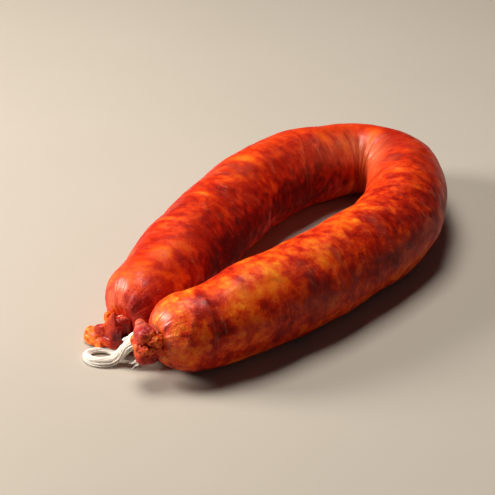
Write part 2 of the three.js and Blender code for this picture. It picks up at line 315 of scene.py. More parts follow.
def casingFinish():
    # filling seen through a thin glossy casing: amber fatty filling, red lean, pale lines of stretched
    # casing and dark cracks, with painted sheen inside the bend and on some fatty patches, painted glints
    # in small spots and along pale creases, and painted shade in some lean patches
    look = Finish("casing", {
        "IOR": 1.45,
        "Specular IOR Level": 0.13,
        "Subsurface Weight": 0.1,
        "Subsurface Radius": (1.0, 0.25, 0.08),
        "Subsurface Scale": 0.003,
        "Coat Roughness": 0.32,
        "Coat IOR": 1.5,
    })
    straight = look.vector("straight")
    often, reach = casing["wander"]
    wander = look.grain(look.scaled(straight, (often,) * 3), out="Color")
    loose = look.moved(straight, look.scaled(look.moved(wander, (-0.5,) * 3), (reach,) * 3))
    places = {"straight": straight, "loose": loose, "spoke": look.vector("spoke")}
    layers = {}
    for label, (place, *recipe) in casing["layers"].items():
        layers[label] = look.layer(recipe, places[place])
    broad = layers["broad"]
    bits = layers["bits"]
    mince = layers["mince"]
    streak = layers["streak"]
    fork = layers["fork"]
    inBend = look.number("inBend")
    atEnds = look.number("atEnds")
    stretch = look.number("stretch")
    # red lean filling, and painted shade on flanks in shade; it also dulls the gloss there
    lean = look.number("lean")
    ridgeLine = look.number("ridgeLine")
    crack = look.number("crack")

    onLegs, more = casing["streaks"]
    mottle = (streak - 0.5) * (onLegs + inBend * more)
    for label, share in casing["mottle"].items():
        mottle = mottle + (layers[label] - 0.5) * share
    mottle = mottle + look.step(mince, 0.54, 0.64) * casing["minceLight"]
    mottle = mottle - look.step(1.0 - mince, 0.53, 0.70) * casing["minceDark"]
    tone = casing["tone"] + mottle * look.number("contrast")
    tone = tone + atEnds * casing["toneAtEnds"] + inBend * casing["toneInBend"]
    # the fatty patches give amber filling and, on the near end and inside the bend, painted sheen
    tone = tone + look.number("fat") * casing["fatAndSheenTone"] + lean * casing["leanAndShadeTone"]
    colour = look.ramp(casing["tones"], tone)

    share, more = casing["plumShare"]
    plum = look.number("plum") * (share + look.step(bits, 0.3, 0.7) * more)
    colour = look.paint(colour, casing["plum"], plum)
    gristle = look.step(0.62 - bits, 0.16, 0.3) * look.step(layers["chunk"], 0.45, 0.6)
    colour = look.paint(colour, casing["plum"], gristle * casing["gristleShare"])
    # pale streaks and the pale band inside the bend: partly the casing's own colour, partly painted sheen
    share, more = casing["streakAndSheenShare"]
    paleStreaksAndSheen = look.step(streak, 0.48, 0.78) * (share + stretch * more) + stretch * casing["stretchAndSheenShare"]
    colour = look.paint(colour, casing["pale"], paleStreaksAndSheen)
    chunk = look.step(layers["chunk"], 0.4, 0.6)
    # small pale spots: bits of fatty filling and painted glints
    specksAndGlints = look.step(layers["speckle"], 0.62, 0.76) * chunk
    colour = look.paint(colour, casing["pale"], specksAndGlints * casing["speckAndGlintShare"])

    # thin crosswise creases, painted pale with painted highlight along their ridges: everywhere a few, more
    # where the lists below ask for them
    share = casing["lightLines"]
    rare = look.step(layers["rare"], 0.55, 0.70)
    light = layers["crease"] * (ridgeLine * share["ridge"] + rare * share["rare"])
    light = light + fork * (rare * share["rareForks"] + atEnds * share["forksAtEnds"])
    colour = look.paint(colour, casing["pale"], light + look.step(ridgeLine, 0.4, 1.0) * share["ridgeBand"])
    share = casing["darkLines"]
    dark = fork * (crack * share["crack"] + look.step(0.6 - broad, 0.12, 0.3) * share["everywhere"])
    colour = look.paint(colour, casing["crack"], dark + look.step(crack, 0.4, 1.0) * share["crackBand"])
    look.connect("Base Color", colour)

    share = casing["gloss"]
    gloss = share["plain"] + chunk * share["chunks"]
    gloss = gloss + atEnds * atEnds * share["ends"] + stretch * share["stretch"]
    dull = look.step(lean, 0.35, 1.1)
    look.connect("Coat Weight", gloss * look.number("upper") * (1.0 - dull * 0.95))
    share = casing["roughness"]
    roughness = share["plain"] + look.step(broad, 0.3, 0.7) * share["broad"] + bits * share["bits"]
    look.connect("Roughness", roughness + dull * share["lean"])

    share, more = casing["fineRelief"]
    height = layers["fine"] * (share + atEnds * more)
    share, more = casing["poreRelief"]
    height = height + layers["pores"] * (share + atEnds * more)
    share = casing["relief"]
    height = height + light * share["lightLines"] - dark * share["darkLines"]
    height = height + (layers["pleats"] * share["pleats"] - layers["crinkle"] * share["crinkle"]) * atEnds
    look.connect("Normal", look.bump(height, *casing["bump"]))
    return look.material


tailCasing = {
    "tones": [  # from painted shade in the folds to painted light on the ridges
        (0.0, (0.04, 0.001, 0.0015)),
        (0.22, (0.18, 0.003, 0.003)),
        (0.42, (0.38, 0.013, 0.004)),
        (0.62, (0.64, 0.055, 0.005)),
        (0.82, (0.82, 0.17, 0.012)),
        (1.0, (0.88, 0.33, 0.06)),
    ],
    "flesh": (0.34, 0.012, 0.020, 1),
    "peach": (0.66, 0.13, 0.07, 1),
    "patch": (Finish.grain, (0, 0, 0), (0.3, 0.3, 0.3), 3, 0.6),
    "speckle": (Finish.grain, (0, 0, 0), (1.1, 1.1, 1.1), 3, 0.6),
    "toneShift": 0.02,
    "patchTone": 0.6,
    "speckleTone": 0.35,
    "foldShadeTone": 0.8,
    "fleshShare": 0.6,
    "peachShare": 0.8,
    "roughness": (0.34, 0.2),  # everywhere, and added in the speckle
    "gloss": (0.03, 0.16),  # everywhere, and added in the patches
    "bump": (0.35, 0.2),
}


def tailFinish():
    # spare casing, with painted shade in its folds and painted light on its ridges
    look = Finish("tail casing", {
        "IOR": 1.45,
        "Specular IOR Level": 0.2,
        "Subsurface Weight": 0.12,
        "Subsurface Radius": (1.0, 0.3, 0.12),
        "Subsurface Scale": 0.0015,
        "Coat Roughness": 0.2,
    })
    place = look.vector("straight")
    patch = look.layer(tailCasing["patch"], place)
    speckle = look.layer(tailCasing["speckle"], place)
    flesh = look.number("flesh")
    # each lobe's tint, darker on lobes given painted shade
    tone = look.number("tint") + tailCasing["toneShift"] + (patch - 0.5) * tailCasing["patchTone"]
    tone = tone + (speckle - 0.5) * tailCasing["speckleTone"]
    # painted shade in the folds and painted light on the ridges
    tone = tone + (look.number("fold") - 0.5) * tailCasing["foldShadeTone"]
    colour = look.ramp(tailCasing["tones"], tone)
    colour = look.paint(colour, tailCasing["flesh"], look.step(flesh, 0.0, 0.5) * tailCasing["fleshShare"])
    colour = look.paint(colour, tailCasing["peach"], look.step(flesh, 0.7, 1.0) * tailCasing["peachShare"])
    look.connect("Base Color", colour)
    plain, more = tailCasing["roughness"]
    look.connect("Roughness", plain + speckle * more)
    plain, more = tailCasing["gloss"]
    look.connect("Coat Weight", plain + patch * more)
    look.connect("Normal", look.bump(speckle, *tailCasing["bump"]))
    return look.material


cotton = {
    "thread": (1.0, 0.94, 0.84, 1),
    "shade": (0.98, 0.87, 0.73, 1),
    "stain": (0.60, 0.22, 0.07, 1),
    "lint": (Finish.grain, (0, 0, 0), (0.5, 3.0, 3.0), 3, 0.6),
    "shadeShare": 0.5,
    "stainShare": (0.45, 0.5),  # everywhere in a stain, and added in the lint
    "roughness": (0.8, 0.15),
    "bump": (0.4, 0.12),
}


def cottonFinish():
    # soft white thread, with a little painted shade in streaks as if in its hollows, and stained where it
    # touches the casing
    look = Finish("cotton", {
        "Subsurface Weight": 0.4,
        "Subsurface Radius": (1.0, 0.9, 0.8),
        "Subsurface Scale": 0.0012,
        "Specular IOR Level": 0.2,
        "Sheen Weight": 0.25,
        "Sheen Roughness": 0.5,
    })
    lint = look.layer(cotton["lint"], look.vector("straight"))
    shade = look.step(lint, 0.45, 0.8) * cotton["shadeShare"]
    colour = look.paint(cotton["thread"], cotton["shade"], shade)
    share, more = cotton["stainShare"]
    stain = look.number("stain") * (share + look.step(lint, 0.2, 0.7) * more)
    colour = look.paint(colour, cotton["stain"], stain)
    look.connect("Base Color", colour)
    plain, more = cotton["roughness"]
    look.connect("Roughness", plain + lint * more)
    look.connect("Normal", look.bump(lint, *cotton["bump"]))
    return look.material


casingMaterial = casingFinish()
tailMaterial = tailFinish()
cottonMaterial = cottonFinish()
print("materials made")


# Sausage

sausage = {
    "legRadius": 19,
    "bendRadius": 16.8,
    "endRadius": 17,
    "neckRadius": 2.6,
    "domeLength": 16.6,
    "domeFullness": 0.92,
    "dimpleDepth": 1.5,
    "dimple": (0.8, 0.95),  # the shares of a dome where it begins and is full
    "flatDepth": 0.7,  # how much of the round underside the floor takes
    "endTaper": 22,
    "bendTaper": 28,
    "nearNeck": (6.1, -101.5),
    "nearHeading": 61,
    # the spine's arcs: length, and degrees turned
    "spans": [(18, 1), (30, 15), (64, 6.5), (90, 51), (38, 109), (71, 36), (92, 4), (18, -28)],
    "bendSpan": 4,  # the arc that holds the middle of the bend, counted from 0
    "nearNeckHeight": 16.2,
    "farNeckHeight": 12.5,
    "gathers": 11,
    "gatherDepth": 0.45,
    "gatherMiddle": 0.78,
    "gatherSpread": 0.2,
    "gatherSway": 1.7,
    "pleatPitch": 8.5,
    "pleatDepth": 0.9,
    "lumps": [  # height, length, times round, wind, sway, start
        (0.45, 45, 2, 145, 2, 0),
        (0.32, 80, 1, -195, 0, -1.3),
    ],
    "sides": 180,
    "ringGap": 0.97,
    "domeRings": 44,
    "neckRings": 4,
}

spanLengths = [length for length, turn in sausage["spans"]]
spineLength = sum(spanLengths)
nearDome = spanLengths[0]
farDome = spineLength - spanLengths[-1]
bendMiddle = sum(spanLengths[: sausage["bendSpan"]]) + spanLengths[sausage["bendSpan"]] / 2


def spineAt(s):
    # place and heading on the spine, seen from above, for distances s from the near neck
    s = np.asarray(s, float)
    x, y = (np.full_like(s, value) for value in sausage["nearNeck"])
    heading = np.full_like(s, math.radians(sausage["nearHeading"]))
    start = 0
    for length, turn in sausage["spans"]:
        curvature = math.radians(turn) / length
        after = heading + curvature * np.clip(s - start, 0, length)
        x = x + (np.sin(after) - np.sin(heading)) / curvature
        y = y - (np.cos(after) - np.cos(heading)) / curvature
        heading = after
        start += length
    return x, y, heading


def bodyRadius(s):
    ends = bell(s - nearDome, sausage["endTaper"]) + bell(s - farDome, sausage["endTaper"])
    bend = bell(s - bendMiddle, sausage["bendTaper"])
    leg = sausage["legRadius"]
    return leg - (leg - sausage["endRadius"]) * ends - (leg - sausage["bendRadius"]) * bend


def skinRadius(s, shut):
    closing = np.maximum(0, np.cos(math.pi / 2 * shut)) ** sausage["domeFullness"]
    return sausage["neckRadius"] + (bodyRadius(s) - sausage["neckRadius"]) * closing


def domeReach(shut):
    dimple = sausage["dimpleDepth"] * ease(shut, *sausage["dimple"])
    return sausage["domeLength"] * np.sin(math.pi / 2 * shut) - dimple


def spineHeight(s, shut):
    neck = np.where(s < bendMiddle, sausage["nearNeckHeight"], sausage["farNeckHeight"])
    return blend(bodyRadius(s) - sausage["flatDepth"], neck, shut**2)


def mainRelief(s, shut, angle):
    # the gathers, lumps and pleats that the solid has too
    ridge = np.cos(sausage["gathers"] * angle + sausage["gatherSway"] * np.sin(angle))
    gather = sausage["gatherDepth"] * ridge * bell(shut - sausage["gatherMiddle"], sausage["gatherSpread"])
    lumps = 0
    for height, length, around, wind, sway, start in sausage["lumps"]:
        along = 2 * math.pi * s / length + sway * np.sin(angle) + start
        lumps = lumps + height * np.sin(along) * np.cos(around * angle + 2 * math.pi * s / wind)
    inside = np.maximum(0, -np.cos(angle)) ** 1.5 * bell(s - bendMiddle, sausage["bendTaper"])
    fold = (0.5 + 0.5 * np.cos(2 * math.pi * (s - bendMiddle) / sausage["pleatPitch"])) ** 2
    return gather + lumps * (1 - shut) - sausage["pleatDepth"] * inside * fold


# marks on the skin: mm along the spine, degrees from the outer side over the top, and sizes in mm
fatAndSheenPatches = [  # along, angle, half length, half width, strength; amber fatty filling, and painted sheen on the near end and inside the bend
    (35, 51, 6, 9, 1.0), (58, 80, 4, 10, 0.9), (49, 66, 4, 8, 0.9), (33, 86, 2.5, 4, 0.7),
    (19, 112, 4, 5, 1.0), (24, 84, 4, 4, 0.9), (9, 355, 6, 8, 1.0), (78, 74, 6, 8, 0.7),
    (102, 91, 8, 7, 0.8), (90, 19, 5, 6, 0.6), (220, 110, 6, 7, 1.0), (244, 134, 2, 8, 0.9),
    (254, 118, 4, 7, 0.7), (242, 204, 2.5, 9, 0.9), (342, 82, 1.8, 10, 0.8), (368, 74, 1.8, 9, 0.9),
    (302, 88, 4, 9, 0.9), (392, 100, 6, 7, 0.8), (385, 116, 5, 6, 0.7), (160, 98, 2.5, 9, 0.8),
    (402, 84, 5, 6, 0.6), (12, 150, 6, 8, 0.6), (50, 48, 14, 9, 0.6), (8, 70, 10, 12, 0.5),
    (410, 68, 10, 12, 0.6), (216, 160, 9, 12, 0.6), (78, 52, 9, 8, 0.5), (212, 150, 8, 12, 0.5),
    (30, 15, 10, 8, 0.4), (40, 45, 8, 6, 0.45), (60, 36, 6, 6, 0.4), (26, 40, 5, 6, 0.5),
    (14, 30, 5, 6, 0.5),
]
leanAndShadePatches = [  # the same; red lean filling, and painted shade, strongest on the inner flank of the far leg
    (57, 56, 4, 7, 0.8), (50, 33, 5, 8, 0.6), (40, 27, 4, 7, 0.5), (19, 50, 4, 10, 0.6),
    (24, 22, 5, 6, 0.9), (68, 30, 7, 10, 0.9), (131, 45, 14, 10, 0.9), (148, 36, 10, 8, 0.9),
    (110, 30, 10, 8, 0.6), (336, 110, 6, 9, 0.8), (390, 138, 6, 9, 0.9), (372, 150, 14, 14, 0.8),
    (330, 160, 24, 14, 0.9), (290, 165, 22, 12, 0.8), (262, 150, 9, 12, 0.7), (15, 180, 12, 14, 0.5),
    (414, 150, 12, 12, 1.0), (350, 172, 44, 14, 1.7), (285, 184, 38, 14, 1.7), (150, 35, 36, 16, 0.45),
    (185, 60, 26, 16, 0.35), (90, 33, 16, 12, 0.5), (374, 72, 40, 12, 0.45), (206, 106, 22, 14, 0.7),
    (330, 15, 110, 24, 0.5), (172, 88, 40, 20, 0.35), (15, 50, 5, 6, 0.6), (360, 130, 40, 12, 0.5),
    (275, 130, 40, 14, 0.5), (45, 350, 30, 7, 0.6), (100, 15, 24, 9, 0.7),
]
plumPatches = [  # the same
    (68, 8, 9, 10, 0.9), (37, 73, 2.5, 6, 0.7), (112, 59, 3, 9, 1.0), (177, 109, 5, 6, 0.8),
    (312, 97, 8, 9, 0.9), (407, 61, 5, 8, 0.8), (64, 40, 5, 8, 0.7), (120, 15, 22, 9, 0.6),
    (82, 48, 2.5, 8, 0.8), (320, 92, 3, 6, 0.6),
]
paleAndGlintLines = [  # from (along, angle) to (along, angle), half width, height; raised pale creases with painted highlight along them
    ((20, 79), (20, 12), 0.55, 0.5), ((14, 57), (7, 14), 0.5, 0.45), ((23, 60), (24, 20), 0.4, 0.25),
    ((74, 85), (74, 72), 0.35, 0.2), ((56, 62), (56, 52), 0.4, 0.25), ((78, 52), (75, 14), 0.4, 0.35),
    ((64, 41), (64, 24), 0.3, 0.2), ((88, 84), (87, 74), 0.3, 0.2), ((84, 57), (82, 42), 0.4, 0.3),
    ((385, 128), (388, 152), 0.5, 0.3), ((383, 134), (384, 150), 0.35, 0.2),
    ((350, 97), (356, 112), 0.4, 0.25), ((328, 82), (332, 110), 0.5, 0.3),
    ((342, 73), (344, 96), 0.5, 0.25), ((366, 60), (370, 91), 0.5, 0.25),
    ((140, 56), (144, 28), 0.6, 0.3), ((136, 42), (143, 8), 0.6, 0.3),
    ((128, 40), (130, 15), 0.5, 0.25), ((150, 56), (156, 26), 0.6, 0.3),
    ((114, 78), (112, 66), 0.4, 0.25), ((244, 110), (248, 142), 0.7, 0.3),
    ((233, 128), (242, 172), 0.8, 0.3), ((160, 92), (165, 122), 0.8, 0.3),
    ((377, 50), (380, 77), 0.4, 0.2), ((392, 66), (389, 78), 0.35, 0.2),
    ((254, 93), (262, 133), 0.5, 0.25), ((267, 107), (277, 152), 0.5, 0.25),
    ((284, 130), (290, 162), 0.5, 0.25), ((327, 132), (322, 156), 0.4, 0.2),
    ((294, 116), (300, 140), 0.4, 0.2),
]
cracks = [
    ((86, 28), (89, 6), 0.45, 0.35), ((39, 41), (41, 20), 0.4, 0.3), ((43, 36), (38, 27), 0.3, 0.25),
    ((16, 66), (19, 30), 0.5, 0.3), ((330, 112), (334, 128), 0.5, 0.3),
    ((120, 74), (124, 68), 0.5, 0.2), ((48, 60), (52, 50), 0.4, 0.25), ((70, 62), (71, 44), 0.4, 0.25),
]

skinDetail = {
    "meat": (0.30, 9, 3.1),  # height, size and seed of the larger lumps of filling
    "bits": (0.16, 4.5, 17.3),
    "domeShare": 0.6,  # of the lumps, lost towards the necks
    "wrinkle": (1.5, 12, 5.7),  # size along and across, and seed
    "wrinkleDepth": (0.07, 0.30),  # everywhere, and added in the bend
    "spokeWrinkle": (1.5, 9, 8.2),  # how often along and round a dome, and seed
    "spokeDepth": 0.66,
    "wrinkleLevel": 0.25,
    "domeWrinkles": (0.75, 0.4),  # where on a dome they are deepest, and their spread
    "bendReach": 1.3,
    "bendSide": 0.35,  # how far the inside of the bend reaches round
    "sheen": (145, 0.45),  # where the casing inside the bend is painted pale, partly as stretched casing and partly as painted sheen, and how widely
    "gloss": (0.15, -0.35, 0.55),  # the share left below, and between which heights it grows
    "spoke": (3.2, 11),  # how often the pleats' noise repeats along and round a dome
    "livelyNearEnd": (0.35, 8, 22),  # more mottled: how much, where and how widely
    "calmInBend": (0.85, 50),
    "calmFarLeg": (0.4, 240, 300),
    "endLift": (1.5, 6, 24, -50, 50),  # how far the near end rounds up: rise, along, length, angle, width
    "lineRise": 0.8,
    "lineWidth": 2.2,
    "lineEnds": (1.5, 0.2),  # how far a line fades past its ends, and over what share of its length
    "lineSway": (0.5, 4.5, 23.7),  # how far lines wander, over what length, and seed
    "patchEdge": (0.55, 3.2, 11.9),  # how ragged, with teeth of what size, and seed
    "patchFade": (0.2, 1.4),
}


def unrolled(along, radius, angle):
    # points on a straight rod, which the noises read
    return np.stack([along, radius * np.cos(angle), radius * np.sin(angle)], axis=1)


def patchMask(patches, s, angle, radius, ragged):
    mask = np.zeros_like(s)
    for along, degrees, halfLength, halfWidth, strength in patches:
        across = radius * turnBetween(angle, math.radians(degrees)) / halfWidth
        away = np.hypot((s - along) / halfLength, across) + ragged
        mask = np.maximum(mask, strength * (1 - ease(away, *skinDetail["patchFade"])))
    return mask


def lineMask(line, s, angle, radius, sway):
    # nearness to a line on the unrolled skin, 1 on it, fading towards its ends
    (startAlong, startAngle), (endAlong, endAngle), halfWidth, height = line
    around = sausage["legRadius"] * math.radians(endAngle - startAngle)
    run = np.array([endAlong - startAlong, around], float)
    length = np.hypot(*run)
    run = run / length
    offset = np.stack([s - startAlong, radius * turnBetween(angle, math.radians(startAngle))])
    along = run[0] * offset[0] + run[1] * offset[1]
    away = run[0] * offset[1] - run[1] * offset[0] + sway
    past, share = skinDetail["lineEnds"]
    fade = ease(along, -past, share * length) * (1 - ease(along, (1 - share) * length, length + past))
    return bell(away, halfWidth * skinDetail["lineWidth"]) * fade


def drawLines(lines, s, angle, radius, sway):
    # the nearness to the nearest line, and how high all of them stand
    mask = np.zeros_like(s)
    height = np.zeros_like(s)
    for line in lines:
        near = lineMask(line, s, angle, radius, sway)
        mask = np.maximum(mask, near)
        height = height + line[-1] * skinDetail["lineRise"] * near
    return mask, height


def wrinkled(points, seed):
    return skinDetail["wrinkleLevel"] - np.abs(perlin(points, seed))


def skinRelief(straight, s, angle, shut, inBend, atEnds):
    # lumps of filling and fine wrinkles, over the relief that the solid has too
    lumps = 0
    for height, size, seed in (skinDetail["meat"], skinDetail["bits"]):
        lumps = lumps + height * perlin(straight / size, seed)
    along, across, seed = skinDetail["wrinkle"]
    wrinkle = wrinkled(straight / (along, across, across), seed)
    along, around, seed = skinDetail["spokeWrinkle"]
    spokes = wrinkled(unrolled(shut * along, around, angle), seed)
    depth, more = skinDetail["wrinkleDepth"]
    relief = lumps * (1 - skinDetail["domeShare"] * shut) + wrinkle * (depth + more * inBend) * (1 - shut)
    rise, along, length, side, width = skinDetail["endLift"]
    lift = rise * bell(s - along, length) * bell(np.degrees(turnBetween(angle, math.radians(side))), width)
    return relief + spokes * skinDetail["spokeDepth"] * atEnds - lift


def mottleContrast(s):
    more, along, length = skinDetail["livelyNearEnd"]
    contrast = 1 + more * bell(s - along, length)
    less, length = skinDetail["calmInBend"]
    contrast = contrast - less * bell(s - bendMiddle, length)
    less, start, end = skinDetail["calmFarLeg"]
    return contrast - less * ease(s, start, end)


def makeSausage():
    sides = sausage["sides"]
    domeShuts = np.linspace(0, 1, sausage["domeRings"] + 1)[1:]
    dome = domeReach(domeShuts)
    neck = np.linspace(0, nearDome - dome[-1], sausage["neckRings"] + 1)[:-1]
    middle = np.linspace(nearDome, farDome, round((farDome - nearDome) / sausage["ringGap"]) + 1)
    stations = np.concatenate(
        [neck, nearDome - dome[::-1], middle, farDome + dome, spineLength - neck[::-1]]
    )
    closed = np.ones_like(neck)
    shuts = np.concatenate([closed, domeShuts[::-1], np.zeros_like(middle), domeShuts, closed])
    s, angle = (grid.ravel() for grid in np.meshgrid(stations, turnsRound(sides), indexing="ij"))
    shut = np.repeat(shuts, sides)
    radius = skinRadius(s, shut)
    straight = unrolled(s, radius, angle)

    bend = bell(s - bendMiddle, sausage["bendTaper"] * skinDetail["bendReach"])
    side = skinDetail["bendSide"]
    inBend = np.maximum(0, side - np.cos(angle)) / (1 + side) * bend
    deepest, spread = skinDetail["domeWrinkles"]
    atEnds = bell(shut - deepest, spread) * (shut > 0)
    edge, size, seed = skinDetail["patchEdge"]
    ragged = edge * perlin(straight / size, seed)
    reach, size, seed = skinDetail["lineSway"]
    sway = reach * perlin(straight / size, seed)
    ridgeLine, rise = drawLines(paleAndGlintLines, s, angle, radius, sway)
    crack, drop = drawLines(cracks, s, angle, radius, sway)

    relief = mainRelief(s, shut, angle) + skinRelief(straight, s, angle, shut, inBend, atEnds) + rise - drop
    x, y, heading = spineAt(s)
    out = (radius + relief) * np.cos(angle)
    height = np.maximum(0, spineHeight(s, shut) + (radius + relief) * np.sin(angle))
    points = np.stack([x + out * np.sin(heading), y - out * np.cos(heading), height], axis=1)

    sheenAngle, sheenWidth = skinDetail["sheen"]
    below, low, high = skinDetail["gloss"]
    numbers = {
        # amber fatty filling, and painted sheen where patches lie on the near end and inside the bend
        "fat": patchMask(fatAndSheenPatches, s, angle, radius, ragged),
        # red lean filling and painted shade
        "lean": patchMask(leanAndShadePatches, s, angle, radius, ragged),
        "plum": patchMask(plumPatches, s, angle, radius, ragged),
        "ridgeLine": ridgeLine,
        "crack": crack,
        "inBend": inBend,
        # the pale band inside the bend, partly stretched casing and partly painted sheen; it also adds
        # gloss there
        "stretch": bell(turnBetween(angle, math.radians(sheenAngle)), sheenWidth) * bend,
        "atEnds": atEnds,
        "upper": below + (1 - below) * ease(np.sin(angle), low, high),
        "contrast": mottleContrast(s),
    }
    often, around = skinDetail["spoke"]
    vectors = {"straight": straight, "spoke": unrolled(shut * often, around, angle)}
    faces = ringFaces(len(stations), sides)
    piece = makePiece("sausageSkin", points, faces, casingMaterial, numbers, vectors)
    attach(piece, "root")
    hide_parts("sausage")


makeSausage()
print("sausage made")


# Tails of spare casing

tails = {
    "rings": 20,  # of points on a lobe before the lobes are joined
    "sides": 32,
    "capAngle": 1.45,  # where the last ring lies, in radians from a lobe's middle
    "foldDepth": 0.06,
    "foldPitch": (2.2, 1.7, 1.4),  # across, along and up a lobe
    "voxel": 0.26,
    "softening": (0.5, 6),  # strength and rounds
    "tintReach": 1.3,  # how far a lobe's colours reach into the next
    "bulge": (0.20, 4.8),  # height and size of the swellings between creases
    "bulgeShape": (2.6, 0.6),
    "ridge": (0.42, 1.7),  # sharp folds, where a lobe is ragged
    "ridgeShape": 3.2,
    "grit": (0.05, 0.8),
    "seed": 31.7,
    "shade": 0.7,  # how much darker the folds are for each mm of depth
    "lowest": 0.02,  # above the floor
    "near": {
        "facing": 241,
        "neck": 0,
        "square": 2.3,
        # out, side, up, size, lean, folds, tint with painted shade on lobes in shade, flesh, ragged, and
        # how far it narrows and leans upwards
        "lobes": [
            (0.1, 0, 16.2, (1.9, 5.0, 5.2), 0, 3, 0.25, 0, 0.2),
            (-1.2, -4.9, 17.2, (2.3, 2.0, 4.8), 0, 3, 0.4, 0, 0.4),
            (3.2, -0.8, 20.9, (4.2, 5.6, 4.2), 0, 2, 0.32, 0.7, 0),
            (3.5, -1.7, 17.0, (4.6, 6.4, 2.6), 0, 3, 0.68, 0, 1.0),
            (1.0, -5.2, 19.8, (3.4, 2.8, 2.2), 0, 3, 0.66, 0, 0.9),
            (4.0, 2.6, 16.6, (3.6, 2.8, 3.0), 0, 3, 0.74, 0, 0.5),
            (3.3, -1.6, 12.9, (4.6, 5.4, 4.4), 0, 2, 0.22, 0.3, 0),
            (3.4, 2.7, 23.6, (2.1, 2.5, 2.2), 0, 1, 0.6, 1.0, 0),
        ],
    },
    "far": {
        "facing": 256,
        "neck": spineLength,
        "square": 3.2,
        "lobes": [
            (0.3, 0.4, 12.0, (1.8, 4.0, 4.0), 0, 3, 0.3, 0, 0.2),
            (-2.1, -1.9, 12.4, (1.9, 3.5, 4.4), 0, 2, 0.40, 0, 0),
            (2.3, 2.1, 11.2, (2.5, 7.8, 8.7), 0, 1, 0.58, 0, 0.1, 0.86, 0.31),
            # painted shade: a dark tint on the lobe on the side away from the lamps
            (1.6, -2.6, 9.6, (1.5, 1.5, 4.2), 0, 2, 0.04, 0, 0),
            (0.4, 6.2, 14.0, (1.7, 1.7, 2.3), 0, 2, 0.8, 0, 0.2),
            (2.7, 8.0, 7.8, (2.2, 4.8, 2.6), 26, 2, 0.2, 0, 0.1),
            (3.6, 14.4, 4.0, (2.4, 2.6, 2.6), 0, 2, 0.84, 0, 0.3),
            (4.3, 10.6, 4.0, (2.2, 3.4, 2.6), 0, 2, 0.82, 0, 0.2),
            (4.0, 13.0, 2.2, (2.6, 4.2, 2.0), 0, 2, 0.78, 0, 0.2),
            (4.2, 7.4, 3.0, (2.2, 3.8, 2.4), 0, 2, 0.74, 0, 0.2),
            (2.8, 2.8, 5.2, (2.1, 4.6, 2.6), 0, 2, 0.42, 0, 0.1),
        ],
    },
}


def lobeRings(size, folds, square, taper=0.0, shear=0.0):
    # a ball or rounded block with folds across it, as rings of points from its lowest to its highest
    levels = np.linspace(-tails["capAngle"], tails["capAngle"], tails["rings"])
    lift, turn = np.meshgrid(levels, turnsRound(tails["sides"]), indexing="ij")
    ball = np.stack([np.cos(lift) * np.cos(turn), np.cos(lift) * np.sin(turn), np.sin(lift)], axis=-1)
    block = ball / (np.abs(ball) ** square).sum(-1, keepdims=True) ** (1 / square)
    across, along, up = (ball[..., k] * pitch for k, pitch in enumerate(tails["foldPitch"]))
    fold = np.sin(folds * across + up + size[0]) * np.cos(folds * along + size[2])
    rings = block * (1 + tails["foldDepth"] * fold)[..., None] * np.array(size)
    rings[..., :2] *= 1 - taper * (0.5 + 0.5 * rings[..., 2:] / size[2])
    rings[..., 1] += shear * rings[..., 2]
    return rings


def tailLobes(tail):
    # the lobes of a tail where they stand, and the middle and the look of each
    turn = math.radians(tail["facing"])
    out = np.array([math.cos(turn), math.sin(turn), 0])
    side = np.array([math.sin(turn), -math.cos(turn), 0])
    up = np.array([0, 0, 1.0])
    neckX, neckY, heading = spineAt(tail["neck"])
    neck = np.array([float(neckX), float(neckY), 0])
    lobes, middles, looks = [], [], []
    for outward, sideways, height, size, lean, folds, tint, flesh, ragged, *wedge in tail["lobes"]:
        rings = lobeRings(size, folds, tail["square"], *wedge)
        x, y, z = (rings[..., k, None] for k in range(3))
        cosLean = math.cos(math.radians(lean))
        sinLean = math.sin(math.radians(lean))
        # the solid's lobes are turned to face out, so local y runs against the side direction
        world = x * out - (cosLean * y - sinLean * z) * side + (sinLean * y + cosLean * z) * up
        middle = neck + outward * out + sideways * side + np.array([0, 0, height])
        lobes.append(world + middle)
        middles.append(middle)
        looks.append((tint, flesh, ragged))
    return lobes, middles, looks


def joinLobes(name, lobes):
    # one soft skin over all the lobes, without what lies inside
    rings, sides = lobes[0].shape[:2]
    faces = []
    for k in range(len(lobes)):
        faces += [face[::-1] for face in ringFaces(rings, sides, k * rings * sides)]
    blank = makePiece(name, np.concatenate(lobes).reshape(-1, 3), faces, tailMaterial)
    remesh = blank.modifiers.new("join", "REMESH")
    remesh.mode = "VOXEL"
    remesh.voxel_size = tails["voxel"] * mm
    remesh.use_smooth_shade = True
    smooth = blank.modifiers.new("soften", "SMOOTH")
    smooth.factor, smooth.iterations = tails["softening"]
    mesh = bpy.data.meshes.new_from_object(blank.evaluated_get(bpy.context.evaluated_depsgraph_get()))
    bpy.data.objects.remove(blank)
    return mesh


def tailNoise(kind, place):
    # how high a kind of relief stands, and its noise at each point
    height, size = tails[kind]
    return height, perlin(place / size, tails["seed"] + size)


